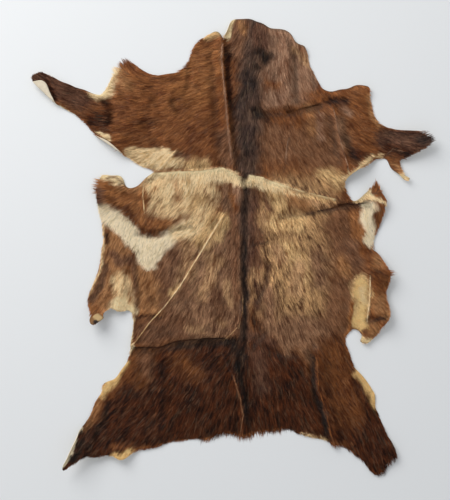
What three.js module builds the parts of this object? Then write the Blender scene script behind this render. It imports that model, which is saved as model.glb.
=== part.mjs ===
// A goatskin rug: one tanned skin, hair side up, as it lies on a floor after it was stored folded.
// Millimetres. X runs across the skin, Y from the tail to the neck, and Z up from the floor.
// The tables are laid out on a sheet whose corner is at the lower left; the mesh is centred at the end.
import * as THREE from "three";

const { clamp, degToRad, smoothstep } = THREE.MathUtils;

const SKIN_THICKNESS = 2; // the leather with the roots of its coat
const EDGE_STEP = 10; // between points round the edge
const CREASE_STEP = 18; // between points along a crease
const FIELD_STEP = 21; // between points elsewhere
const FIELD_JITTER = 0.12; // of a step, so that the facets don't line up
const CLEAR_OF_EDGE = 0.6; // of a field step, between a field point and the edge or a crease
const CURL_ROWS = 4; // rows of facets round each curl
const CREASE_FADE = 26; // over which a crease dies away at its ends
const WAVE_HEIGHT = 1.6; // of the low, broad waves all over the skin
const WAVE_LENGTH = 94;
const PRESSED_FLAT = 1.5; // taken off the waves and swells, so that their feet lie flat on the floor

// The edge of the flat skin, clockwise from the notch in the neck. Columns: x, y.
// Each stretch ends where the next one starts, and the skin has a corner there.
const EDGE = {
  neckFlap: [[448, 917], [447.5, 928], [446, 940], [455, 953], [466, 961]],
  neck: [
    [466, 961], [484, 961.5], [502, 962], [512, 956], [528, 952], [536, 944], [554, 942], [570, 940],
    [582, 932], [591, 914], [610, 906], [614, 894], [618, 872], [628, 849], [636, 838], [642, 824],
  ],
  rightShoulder: [[642, 824], [650, 819], [665, 816], [678, 821], [696, 822], [712, 830], [739, 826]],
  rightForelegFront: [
    [739, 826], [738, 806], [742, 788], [746, 770], [750, 760], [760, 751], [774, 745], [800, 739],
    [832, 736], [848, 727], [861, 714],
  ],
  rightForelegBack: [[861, 714], [843, 700], [826, 692], [810, 684], [798, 680]],
  tornStripFront: [[798, 680], [800, 664], [810, 647], [821, 643]],
  tornStripBack: [[821, 643], [818, 638], [807, 639], [798, 651], [782, 662], [777, 675], [772, 683]],
  rightArmpit: [
    [772, 683], [750, 681], [732, 668], [716, 660], [700, 649], [689, 636], [688, 626], [691, 616],
    [700, 602], [708, 596],
  ],
  rightFlapTop: [[708, 596], [716, 600], [726, 609], [736, 619], [746, 625], [752, 637]],
  rightFlapSide: [
    [752, 637], [757, 622], [764, 612], [772, 600], [769, 588], [766, 574], [762, 560], [754, 542],
    [746, 524], [743, 508], [740, 503],
  ],
  rightFlank: [[740, 503], [752, 496], [760, 484], [770, 468], [779, 455]],
  rightBelly: [
    [779, 455], [778, 444], [774, 428], [769, 418], [770, 406], [776, 384], [778, 368], [772, 356],
    [760, 344], [756, 334], [744, 323], [738, 315], [728, 313], [717, 318],
  ],
  rightGroin: [[717, 318], [724, 327], [719, 338], [705, 343], [700, 339], [687, 323]],
  rightThigh: [
    [687, 323], [694, 304], [699, 288], [705, 268], [716, 258], [732, 240], [742, 224], [751, 209],
    [749, 192], [754, 174], [766, 150], [772, 132], [782, 119], [788, 106], [793, 91],
  ],
  rightHock: [[793, 91], [778, 80], [768, 68], [761, 54], [750, 51.5], [744, 56]],
  rightLegInside: [
    [744, 56], [732, 73], [720, 86], [708, 94], [698, 101], [688, 112], [676, 113], [666, 111],
  ],
  rump: [
    [666, 111], [656, 119], [636, 123], [616, 127], [600, 133], [586, 142], [568, 144], [540, 140],
    [512, 138], [496, 131], [484, 127], [468, 134], [440, 137], [426, 131], [416, 123],
  ],
  leftRump: [[416, 123], [392, 124], [360, 120], [332, 116], [314, 108], [292, 104], [272, 102]],
  smallTab: [[272, 102], [254, 86], [242, 81], [224, 92]],
  leftLegInside: [[224, 92], [200, 90], [188, 88], [172, 91], [152, 78], [129, 64]],
  leftHockHem: [[129, 64], [127, 82], [138, 109], [150, 137], [165, 146]],
  leftThigh: [[165, 146], [184, 174], [193, 200], [206, 218]],
  leftThighTab: [
    [206, 218], [204, 230], [214, 237], [230, 242], [242, 260], [253, 274], [262, 296],
  ],
  leftGroin: [
    [262, 296], [261, 312], [264, 328], [267, 346], [267, 362], [262, 379], [252, 380], [242, 375],
    [230, 380], [221, 386], [212, 380], [208, 368],
  ],
  leftHookRoll: [[208, 368], [218, 356], [222, 338], [208, 326], [195, 336], [191, 357]],
  leftFlap: [
    [191, 357], [184, 374], [177, 396], [179, 412], [190, 440], [199, 464], [204, 486], [203, 500],
    [209, 518], [205, 540],
  ],
  leftBelly: [[205, 540], [208, 547], [200, 570], [196, 592], [194, 618], [202, 626]],
  leftFlapTop: [
    [202, 626], [199, 638], [204, 650], [224, 648], [242, 649], [248, 638], [253, 624], [270, 625],
    [282, 632], [287, 640], [298, 649], [315, 660],
  ],
  leftArmpit: [[315, 660], [296, 664], [280, 670], [268, 678], [258, 686]],
  leftForelegHem: [[258, 686], [246, 686], [224, 694], [201, 709], [190, 726], [191, 732]],
  leftForelegBack: [[191, 732], [172, 754], [160, 764], [144, 775], [128, 782], [120, 788]],
  leftForelegFlap: [[120, 788], [106, 788], [83, 796], [60, 806], [61, 824], [67, 839]],
  leftForelegTip: [[67, 839], [62, 847], [70, 846], [77, 855], [82, 856]],
  leftForelegFront: [
    [82, 856], [100, 848], [126, 835], [142, 830], [152, 824], [168, 821], [184, 813], [202, 809],
  ],
  leftNotch: [
    [202, 809], [208, 816], [216, 828], [221, 840], [228, 850], [240, 859], [252, 870], [262, 872],
    [280, 863], [294, 854], [312, 848], [330, 851], [360, 856], [372, 863],
  ],
  leftNeck: [
    [372, 863], [380, 880], [387, 902], [396, 913], [406, 923], [420, 931], [433, 938], [438, 936],
    [442, 929], [448, 917],
  ],
};

// Stretches of the edge that have turned up and over, showing the flesh side. The skin bends along
// the straight line between the stretch's two ends, round the radius, by so many degrees.
const CURLS = [
  { stretch: "neckFlap", radius: 4, turn: 176 },
  { stretch: "leftForelegFlap", radius: 4.5, turn: 178 },
  { stretch: "leftForelegHem", radius: 4, turn: 172 },
  { stretch: "leftHockHem", radius: 4, turn: 150 },
  { stretch: "leftHookRoll", radius: 5.5, turn: 215 },
];

// Ridges, and troughs with a height below 0. A crease falls away over one width on its left and
// another on its right, seen along the path. Path columns: x, y.
const CREASES = [
  { name: "neck ridge", height: 9, left: 12, right: 30,
    path: [[460, 690], [456, 740], [452, 800], [446, 850], [442, 890], [444, 914]] },
  { name: "withers swelling", height: 6, left: 34, right: 30,
    path: [[492, 664], [498, 720], [502, 790], [500, 850], [510, 900], [500, 950]] },
  { name: "back furrow", height: -11, left: 16, right: 12,
    path: [[487, 616], [488, 570], [486, 500], [484, 430], [486, 370], [485, 346]] },
  { name: "rump ridge", height: 5, left: 6, right: 12,
    path: [[484, 300], [474, 250], [472, 230], [480, 200], [486, 176], [482, 150]] },
  { name: "shoulder ridge", height: 11, left: 18, right: 13,
    path: [
      [318, 656], [360, 657], [400, 659], [440, 662], [464, 656], [482, 648], [502, 643], [530, 638],
      [560, 630], [600, 620], [640, 608], [684, 598],
    ] },
  { name: "rib furrow", height: -7, left: 10, right: 8,
    path: [[502, 568], [540, 568], [570, 572], [600, 580], [640, 582], [676, 586], [706, 596]] },
  { name: "slanting crease", height: 5, left: 10, right: 9,
    path: [[448, 572], [420, 526], [390, 476], [360, 428], [330, 390], [300, 360], [270, 320]] },
  { name: "loin furrow", height: -8, left: 18, right: 9,
    path: [
      [272, 306], [300, 306], [326, 310], [350, 318], [400, 323], [450, 324], [490, 319], [520, 312],
      [560, 304], [600, 306], [640, 316],
    ] },
  { name: "right thigh ridge", height: 8, left: 34, right: 8,
    path: [[626, 322], [632, 276], [630, 240], [638, 216], [648, 180], [658, 140], [664, 114]] },
  { name: "right withers furrow", height: -6, left: 8, right: 10,
    path: [[516, 776], [560, 780], [600, 780], [622, 788], [636, 794]] },
  { name: "left neck furrow", height: -6, left: 9, right: 9,
    path: [[380, 876], [381, 850], [378, 824]] },
  { name: "left shoulder crease", height: 4, left: 8, right: 8,
    path: [[316, 662], [336, 680], [360, 704]] },
  { name: "right shoulder ridge line", height: 6, left: 12, right: 9,
    path: [[662, 790], [668, 760], [678, 720], [686, 690], [694, 664]] },
  { name: "right shoulder hollow", height: -6, left: 14, right: 12,
    path: [[654, 800], [670, 796], [694, 806]] },
  { name: "left flap ridge", height: 5, left: 9, right: 9,
    path: [[286, 634], [288, 600], [292, 576]] },
  { name: "white patch furrow", height: -5, left: 9, right: 9,
    path: [[276, 532], [316, 538], [350, 546], [380, 560]] },
  { name: "right flank lap", height: 8, left: 5, right: 30,
    path: [[738, 506], [724, 528], [718, 560], [714, 590]] },
  { name: "right flap furrow", height: -5, left: 8, right: 8,
    path: [[706, 592], [724, 593], [748, 600]] },
  { name: "right belly ridge", height: 5, left: 12, right: 7,
    path: [[738, 364], [740, 400], [740, 436]] },
  { name: "right belly furrow", height: -5, left: 8, right: 8,
    path: [[734, 360], [750, 367], [770, 374]] },
];

// Broad places where the skin stands off the floor. Columns: x, y, radius, height.
const SWELLS = [
  [385, 755, 130, 9], // left shoulder
  [580, 725, 125, 9], // right shoulder
  [560, 870, 90, 7], // right side of the neck
  [425, 870, 60, 4], // left side of the neck
  [270, 780, 90, 6], // left upper foreleg
  [715, 755, 70, 6], // right upper foreleg
  [395, 585, 130, 9], // left ribs
  [400, 425, 130, 10], // left flank
  [290, 480, 90, 7], // left belly
  [575, 510, 130, 10], // right ribs
  [580, 395, 130, 9], // right flank
  [695, 470, 80, 7], // right belly
  [390, 230, 135, 9], // left rump
  [560, 235, 120, 9], // right rump
  [700, 195, 65, 6], // right thigh
];

// Edges and tips that have lifted. Columns: x, y, radius, height.
const LIFTS = [
  [64, 844, 120, 9], // left foreleg tip
  [224, 706, 62, 13], // left foreleg hem
  [861, 714, 96, 24], // right foreleg tip
  [818, 640, 60, 7], // torn strip
  [716, 656, 58, 19], // right armpit
  [770, 600, 58, 12], // right flap
  [786, 455, 78, 22], // right flank point
  [780, 360, 66, 20], // right belly point
  [722, 318, 44, 7], // right groin
  [206, 330, 84, 34], // left hook
  [218, 384, 36, 8], // left groin
  [194, 616, 50, 8], // left flap point
  [126, 60, 128, 37], // left hock
  [244, 82, 46, 15], // small tab
  [792, 84, 70, 9], // right hock
  [440, 942, 44, 7], // neck notch
  [742, 828, 44, 8], // right shoulder point
];

const distance = (a, b) => Math.hypot(a.x - b.x, a.y - b.y);
const asPoints = (rows) => rows.map(([x, y]) => ({ x, y }));

// Points at about equal steps along a smooth curve through the rows.
function spaced(rows, step) {
  const knots = rows.map(([x, y]) => new THREE.Vector3(x, y, 0));
  const curve = new THREE.CatmullRomCurve3(knots, false, "centripetal");
  const count = Math.max(2, Math.round(curve.getLength() / step));
  return curve.getSpacedPoints(count).map(({ x, y }) => ({ x, y }));
}

// How far a point is from a path, on which side, and how far along the path that is.
function nearest(path, point) {
  let best = { gap: Infinity };
  let along = 0;
  for (let i = 0; i + 1 < path.length; i++) {
    const [a, b] = [path[i], path[i + 1]];
    const [dx, dy, length] = [b.x - a.x, b.y - a.y, distance(a, b)];
    const share = clamp(((point.x - a.x) * dx + (point.y - a.y) * dy) / length ** 2, 0, 1);
    const gap = distance(point, { x: a.x + share * dx, y: a.y + share * dy });
    const onLeft = dx * (point.y - a.y) - dy * (point.x - a.x) > 0;
    if (gap < best.gap) best = { gap, onLeft, along: along + share * length };
    along += length;
  }
  return { ...best, length: along };
}

function inside(polygon, point) {
  let odd = false;
  polygon.forEach((a, i) => {
    const b = polygon[(i + 1) % polygon.length];
    if (a.y > point.y === b.y > point.y) return;
    if (point.x < a.x + ((point.y - a.y) / (b.y - a.y)) * (b.x - a.x)) odd = !odd;
  });
  return odd;
}

// A number from -1 to 1 that is always the same for the same seed.
function scatter(seed) {
  const wild = Math.sin(seed * 127.1 + 311.7) * 43758.5453;
  return 2 * (wild - Math.floor(wild)) - 1;
}

// A path moved to its left by an offset, or to its right by one below 0.
function beside(path, offset) {
  return path.map((point, i) => {
    const [before, after] = [path[Math.max(0, i - 1)], path[Math.min(path.length - 1, i + 1)]];
    const length = distance(before, after);
    return {
      x: point.x - (offset * (after.y - before.y)) / length,
      y: point.y + (offset * (after.x - before.x)) / length,
    };
  });
}

const creasePaths = CREASES.map((crease) => spaced(crease.path, CREASE_STEP));

// Height of the flesh side above the floor.
function relief(point) {
  let height = WAVE_HEIGHT * Math.sin(point.x / WAVE_LENGTH) * Math.cos((point.y / WAVE_LENGTH) * 1.3);
  height -= PRESSED_FLAT;
  for (const [x, y, radius, rise] of SWELLS) {
    height += rise * (1 - smoothstep(distance({ x, y }, point), 0, radius));
  }
  height = Math.max(height, -PRESSED_FLAT / 3);
  CREASES.forEach((crease, i) => {
    const at = nearest(creasePaths[i], point);
    const width = at.onLeft ? crease.left : crease.right;
    const fade = smoothstep(Math.min(at.along, at.length - at.along), -CREASE_FADE / 2, CREASE_FADE);
    height += crease.height * fade * (1 - smoothstep(at.gap, 0, width));
  });
  height = Math.max(0, height);
  for (const [x, y, radius, rise] of LIFTS) {
    height += rise * (1 - smoothstep(distance({ x, y }, point), 0, radius));
  }
  return height;
}

const curls = CURLS.map(({ stretch, radius, turn }) => {
  const region = asPoints(EDGE[stretch]);
  const [start, end] = [region[0], region.at(-1)];
  const length = distance(start, end);
  const along = { x: (end.x - start.x) / length, y: (end.y - start.y) / length };
  // The edge runs clockwise, so the flap lies to the left of the line from its start to its end.
  const out = { x: -along.y, y: along.x };
  return { region: spaced(EDGE[stretch], EDGE_STEP), start, along, out, length, radius, turn: degToRad(turn) };
});

// Where a point of the flat skin lies once its edges have curled.
function laidOut(point) {
  const curl = curls.find(({ region }) => inside(region, point) || region.some((p) => distance(p, point) < 0.01));
  if (!curl) return new THREE.Vector3(point.x, point.y, relief(point));
  const { start, out, radius, turn } = curl;
  const past = Math.max(0, (point.x - start.x) * out.x + (point.y - start.y) * out.y);
  const angle = Math.min(past / radius, turn);
  const straight = past - angle * radius;
  const reach = radius * Math.sin(angle) + straight * Math.cos(angle) - past;
  const rise = radius * (1 - Math.cos(angle)) + straight * Math.sin(angle);
  const moved = { x: point.x + reach * out.x, y: point.y + reach * out.y };
  return new THREE.Vector3(moved.x, moved.y, rise + relief(moved));
}

// The points of the flat skin: its edge, its creases, rows along its curls, and a field between.
function skinPoints(edge) {
  const points = [...edge];
  const keep = (point, clear) => {
    if (inside(edge, point) && points.every((other) => distance(other, point) > clear)) points.push(point);
  };
  for (const { region, start, along, out, length, radius, turn } of curls) {
    for (let row = 0; row <= CURL_ROWS; row++) {
      const past = (radius * turn * row) / CURL_ROWS;
      for (let at = EDGE_STEP / 2; at < length; at += EDGE_STEP * 0.8) {
        const point = {
          x: start.x + at * along.x + past * out.x,
          y: start.y + at * along.y + past * out.y,
        };
        if (row === 0 || inside(region, point)) keep(point, EDGE_STEP * 0.3);
      }
    }
  }
  creasePaths.forEach((path) => path.forEach((point) => keep(point, CREASE_STEP * 0.5)));
  creasePaths.forEach((path, i) => {
    const { left, right } = CREASES[i];
    for (const offset of [left, -right]) {
      beside(path, offset).forEach((point) => keep(point, CREASE_STEP * 0.5));
    }
  });
  const rowStep = (FIELD_STEP * Math.sqrt(3)) / 2;
  const box = new THREE.Box2().setFromPoints(edge.map(({ x, y }) => new THREE.Vector2(x, y)));
  for (let y = box.min.y, row = 0; y < box.max.y; y += rowStep, row++) {
    for (let x = box.min.x + (row % 2) * (FIELD_STEP / 2); x < box.max.x; x += FIELD_STEP) {
      const shift = FIELD_STEP * FIELD_JITTER;
      keep({ x: x + shift * scatter(x + 3 * y), y: y + shift * scatter(7 * x - y) }, FIELD_STEP * CLEAR_OF_EDGE);
    }
  }
  return points;
}

// Delaunay triangles of the points, as triples of indices, by adding one point after another.
function triangulated(points) {
  const far = 1e5;
  const all = [...points, { x: -far, y: -far }, { x: far, y: -far }, { x: 0, y: far }];
  const first = points.length;
  const withCircle = (a, b, c) => {
    const [p, q, r] = [all[a], all[b], all[c]];
    const twice = 2 * (p.x * (q.y - r.y) + q.x * (r.y - p.y) + r.x * (p.y - q.y));
    const [pp, qq, rr] = [p, q, r].map(({ x, y }) => x * x + y * y);
    const x = (pp * (q.y - r.y) + qq * (r.y - p.y) + rr * (p.y - q.y)) / twice;
    const y = (pp * (r.x - q.x) + qq * (p.x - r.x) + rr * (q.x - p.x)) / twice;
    const corners = twice > 0 ? [a, b, c] : [a, c, b];
    return { corners, x, y, reach: (x - p.x) ** 2 + (y - p.y) ** 2 };
  };
  let triangles = [withCircle(first, first + 1, first + 2)];
  points.forEach((point, index) => {
    const rim = new Map();
    triangles = triangles.filter(({ corners, x, y, reach }) => {
      if ((point.x - x) ** 2 + (point.y - y) ** 2 >= reach) return true;
      corners.forEach((a, i) => {
        const b = corners[(i + 1) % 3];
        if (!rim.delete(`${b} ${a}`)) rim.set(`${a} ${b}`, [a, b]);
      });
      return false;
    });
    for (const [a, b] of rim.values()) triangles.push(withCircle(a, b, index));
  });
  return triangles.map(({ corners }) => corners).filter((corners) => Math.max(...corners) < first);
}

// The edge with more points, until each of its steps is a side of a triangle, and those triangles.
function meshOf(edge) {
  for (;;) {
    const points = skinPoints(edge);
    const triangles = triangulated(points);
    const sides = new Set(triangles.flatMap(([a, b, c]) => [`${a} ${b}`, `${b} ${c}`, `${c} ${a}`]));
    const finer = edge.flatMap((point, i) => {
      const next = (i + 1) % edge.length;
      if (sides.has(`${i} ${next}`) || sides.has(`${next} ${i}`)) return [point];
      return [point, { x: (point.x + edge[next].x) / 2, y: (point.y + edge[next].y) / 2 }];
    });
    if (finer.length === edge.length) {
      const middle = (corners, axis) => corners.reduce((sum, i) => sum + points[i][axis], 0) / 3;
      const kept = triangles.filter((c) => inside(edge, { x: middle(c, "x"), y: middle(c, "y") }));
      return { points, triangles: kept };
    }
    edge = finer;
  }
}

// A closed geometry: the flesh side, the hair side one thickness above it, and the cut edge between.
function skinGeometry({ points, triangles }) {
  const flesh = new THREE.BufferGeometry().setFromPoints(points.map(laidOut));
  flesh.setIndex(triangles.flat());
  flesh.computeVertexNormals();
  const [place, normal] = [flesh.getAttribute("position"), flesh.getAttribute("normal")];
  const corner = new THREE.Vector3();
  const up = new THREE.Vector3();
  const hair = points.map((_, i) => {
    up.fromBufferAttribute(normal, i);
    return corner.fromBufferAttribute(place, i).addScaledVector(up, SKIN_THICKNESS).clone();
  });
  const count = points.length;
  const sides = new Map();
  for (const [a, b, c] of triangles) {
    for (const [from, to] of [[a, b], [b, c], [c, a]]) {
      if (!sides.delete(`${to} ${from}`)) sides.set(`${from} ${to}`, [from, to]);
    }
  }
  const faces = triangles.flatMap(([a, b, c]) => [a + count, b + count, c + count, c, b, a]);
  for (const [a, b] of sides.values()) faces.push(a, b, b + count, a, b + count, a + count);
  const corners = Array.from({ length: count }, (_, i) => new THREE.Vector3().fromBufferAttribute(place, i));
  const geometry = new THREE.BufferGeometry().setFromPoints([...corners, ...hair]);
  return geometry.setIndex(faces);
}

const edge = Object.values(EDGE).flatMap((rows) => spaced(rows, EDGE_STEP).slice(0, -1));
const geometry = skinGeometry(meshOf(edge));
geometry.computeBoundingBox();
geometry.computeVertexNormals();

const coat = new THREE.MeshStandardMaterial({ color: 0x6b432a, roughness: 0.85, metalness: 0 });
const hide = new THREE.Mesh(geometry, coat);
hide.name = "hide";
const middle = geometry.boundingBox.getCenter(new THREE.Vector3());
hide.position.set(-middle.x, -middle.y, -geometry.boundingBox.min.z);

const rug = new THREE.Group();
rug.name = "goatskin_rug";
rug.add(hide);
export default rug;
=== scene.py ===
"""A goatskin rug: one tanned skin with its coat on, hair side up, on a pale floor.

Tables are in millimetres on the sheet on which the skin was laid out, whose corner is at the lower left.
X runs across the skin and Y from its tail to its neck. Meshes are in metres, about the rug's middle.
Lengths are in millimetres where nothing else is said. A path is a row of points.
"""

import bmesh
import bpy
import numpy as np
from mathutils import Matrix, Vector
from mathutils.bvhtree import BVHTree
from mathutils.kdtree import KDTree


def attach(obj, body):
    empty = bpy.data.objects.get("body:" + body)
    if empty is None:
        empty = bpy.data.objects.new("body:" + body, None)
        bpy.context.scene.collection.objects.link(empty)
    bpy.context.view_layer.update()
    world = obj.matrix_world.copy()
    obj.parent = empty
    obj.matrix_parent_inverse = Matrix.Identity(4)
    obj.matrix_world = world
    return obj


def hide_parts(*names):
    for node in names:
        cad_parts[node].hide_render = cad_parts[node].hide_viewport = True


MM = 0.001

# The sheet's point at the origin, and the part of the sheet that the photograph frames.
SHEET_MIDDLE = np.array([462.4, 506.8])
VIEW_MIDDLE = np.array([450.0, 500.0])
VIEW_HEIGHT = 1000.0
CAMERA_HEIGHT = 2600.0
CAMERA_RANGE = 20000.0
SENSOR = 36.0

# The studio, in metres and watts.
FLOOR_SIZE = 30
FLOOR_COLOUR = (0.80, 0.82, 0.84, 1)
WINDOW_PLACE = (-1.5, 1.9, 2.0)
WINDOW_SIZE = 2.2
WINDOW_POWER = 72
WINDOW_COLOUR = (1.0, 0.99, 0.97)
SKY_COLOUR = (0.98, 0.99, 1.0, 1)
SKY_STRENGTH = 0.52

# The skin.
SUBDIVISIONS = 2
SOLID_THICKNESS = 2.0  # of the rug's solid, which is the length of its edges from side to side
LENGTH_SLACK = 0.003
WELD_GAP = 0.002
LEATHER_THICKNESS = 1.1
LEATHER_GAP = 0.2  # least gap between leather and floor
SKIN_RISE = 4.0  # of the leather's middle above the solid's, all lost beside the edge
RISE_WIDTH = 30.0
FLAT_AREA = 0.45
LEATHER_TINT = np.array([1.02, 1.0, 0.88])  # of the coat's colours on the leather
# Painted shade of the hair on the leather under it, as a share of the coat's colours there.
LEATHER_PAINTED_SHADE = 0.78
BARE_SHADE = 0.32  # added to that on bare skin, which has none of that painted shade and is lighter still
FLESH_COLOUR = (224, 211, 188)

# The shape of the coat. A range is of random factors.
COAT_SEED = 17
STRAND_COUNT = 275000
STEEPEST = 0.35  # how far up a face with hair looks at least
LENGTH_RANGE = (0.75, 1.2)
SHORTEST = 0.15  # share of a strand's length that the edge leaves it
STRAND_WIDTH = 0.72
WIDTH_RANGE = (0.6, 1.25)
ROOT_WIDTH = 0.8  # of a strand's width
ROOT_DEPTH = 0.3
STRAND_LIFT = 1.2  # of a strand's middle above the skin
LIFT_RANGE = (0.4, 1.3)
TIP_LIFT_RANGE = (0.3, 1.1)  # of the middle's lift
STRAND_BEND_AT = 0.5  # of its length, where a strand has its widest joint
STRAIGHTNESS = 0.75  # how far that joint keeps to the strand's own way
STRAND_ROLL = np.radians(28)
LOCK_SPACING = 5.0
LOCK_PULL = 0.25  # how far a strand gives way to its lock
LOCK_TURN = np.radians(5)
LOCK_LIFT_RANGE = (0.5, 1.5)
LIE_BLEND = 12.0  # how softly rows of LIE blend
LIE_POWER = 3
CROSSING_SPAN = 60.0  # no strand that crosses a parting spans more
BARE_SHORTENING = 0.6
BARE_THINNING = 0.75
EDGE_OVERHANG = 1.2  # how far most strands may reach past the edge of the skin
OVERHANG_SPREAD = 0.8  # the mean factor of that reach
DROOP = 0.35  # of a strand's reach past the edge
HAIR_GAP = 0.5  # least gap between hair and floor
GRID_STEP = 2.0  # of the height map under the coat
GRID_MARGIN = 30.0

# The colour of the coat, with its painted light, shade and sheen.
COAT_GAIN = np.array([1.30, 1.20, 1.06])  # of all the coat's colours
LIGHTEST = 0.95  # of any strand's colour
TONE_SPREAD = 0.1  # of single strands
LOCK_SHADE = 0.035
STRAND_SHADE = 0.1
DEEPEST_SHADE = 0.1  # least share of any strand's colour
FADE = np.array([0.72, 0.72, 1.0, 1.0, 1.06])  # of a strand's colour at its five points
PAINTED_SHEEN = np.array([0.034, 0.024, 0.016])  # painted sheen, added to the colour of the hairs that shine
PAINTED_SHEEN_RANGE = (0.1, 0.9)  # of the streaks of painted sheen, from the first shine to the full
HOLLOW_SHADE = 0.16  # painted shade and light: how much darker the coat is for each millimetre below its surroundings, and lighter for each above them
HOLLOW_RANGE = (-1.5, 3.0)  # of the depths that count
HOLLOW_SPAN = 14.0  # how far the surroundings reach
RIM_PAINTED_LIGHT = 0.42  # painted light: how much lighter the coat is at the edge of the skin, for the light that comes through there
RIM_WIDTH = 6.0

# Where what lies along a path fades out, from one multiple of its width or radius to another.
PARTING_EDGE = (0.8, 1.5)
COMBED_EDGE = (1, 3)  # of the hair that turns along a parting
BARE_EDGE = (0.6, 1.3)
TUFT_EDGE = (1, 2)
MARK_EDGE = (0.5, 1)

# Layers of noise. Columns: scale, strength, seed.
LEATHER_WAVES = ((14, 1.1, 11), (34, 2.4, 12))
CREASE_CHANGES = ((24, 0.3, 13),)
STRAYING_X = ((22, 4, 5), (9, 3, 7))  # of the edges of the patches
STRAYING_Y = ((22, 4, 6), (9, 3, 8))
TURNS = ((26, 0.14, 41), (11, 0.08, 42))  # of the way the coat lies, in radians
MOTTLES = ((6, 0.05, 25), (13, 0.15, 24), (30, 0.12, 22))  # in the share of light hairs
BLOTCHES = ((35, 0.08, 31), (9, 0.05, 32))  # on the flesh side
NOISE_CELLS = 64

# Streaks of noise along the coat. Columns: scale, reach, strength, seed.
TONE_STREAKS = ((2.0, 6, 0.42, 21), (5, 8, 0.14, 23))
# the streaks that carry the painted sheen
PAINTED_SHEEN_STREAKS = (1.6, 7, 1, 27)
STREAK_STEP = 0.8  # of a streak's scale
STREAK_GAIN = 0.9

# The corners of a strand's two faces, and where its five points lie in its cell of the baked image.
STRAND_FACES = ((0, 1, 3, 2), (2, 3, 4))
STRAND_CELL = ((0.2, 0.15), (0.8, 0.15), (0.2, 0.5), (0.8, 0.5), (0.5, 0.85))

# Hair colours, as seen in daylight: the dark hairs, the light hairs, and the share of light ones.
TONES = {
    "chestnut": ((80, 41, 19), (134, 87, 52), 0.5),
    "russet": ((82, 50, 30), (128, 92, 68), 0.5),
    "auburn": ((100, 58, 30), (154, 106, 66), 0.5),
    "fawn": ((94, 62, 45), (150, 120, 101), 0.5),
    "mauve": ((80, 51, 36), (152, 118, 93), 0.47),
    "mink": ((74, 45, 29), (128, 93, 71), 0.5),
    "plum": ((48, 25, 16), (100, 70, 56), 0.48),
    "mane": ((44, 29, 23), (90, 69, 60), 0.5),
    "sooty": ((24, 15, 13), (72, 55, 50), 0.4),
    "black": ((14, 7, 4), (48, 31, 24), 0.4),
    "umber": ((26, 7, 1), (86, 46, 24), 0.38),
    "bay": ((66, 31, 11), (114, 72, 40), 0.5),
    "tan": ((104, 66, 38), (166, 124, 86), 0.5),
    "brindle": ((76, 48, 31), (202, 166, 122), 0.41),
    "sand": ((102, 68, 44), (190, 156, 120), 0.51),
    "honey": ((122, 86, 50), (216, 188, 142), 0.57),
    "gold": ((130, 90, 52), (234, 214, 174), 0.62),
    "cream": ((176, 148, 104), (238, 222, 188), 0.64),
    "white": ((192, 182, 156), (238, 230, 210), 0.64),
    "ivory": ((184, 160, 120), (232, 216, 182), 0.7),
    "straw": ((164, 126, 76), (226, 196, 142), 0.62),
}
FIRST_TONE = "chestnut"  # where no patch lies

# The coat's pieces lie left or right of the spine's X, and from one Y to another.
SPINE = 487.0
COAT_PARTS = (("shoulder", 650, np.inf), ("body", 320, 650), ("rump", -np.inf, 320))
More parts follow.
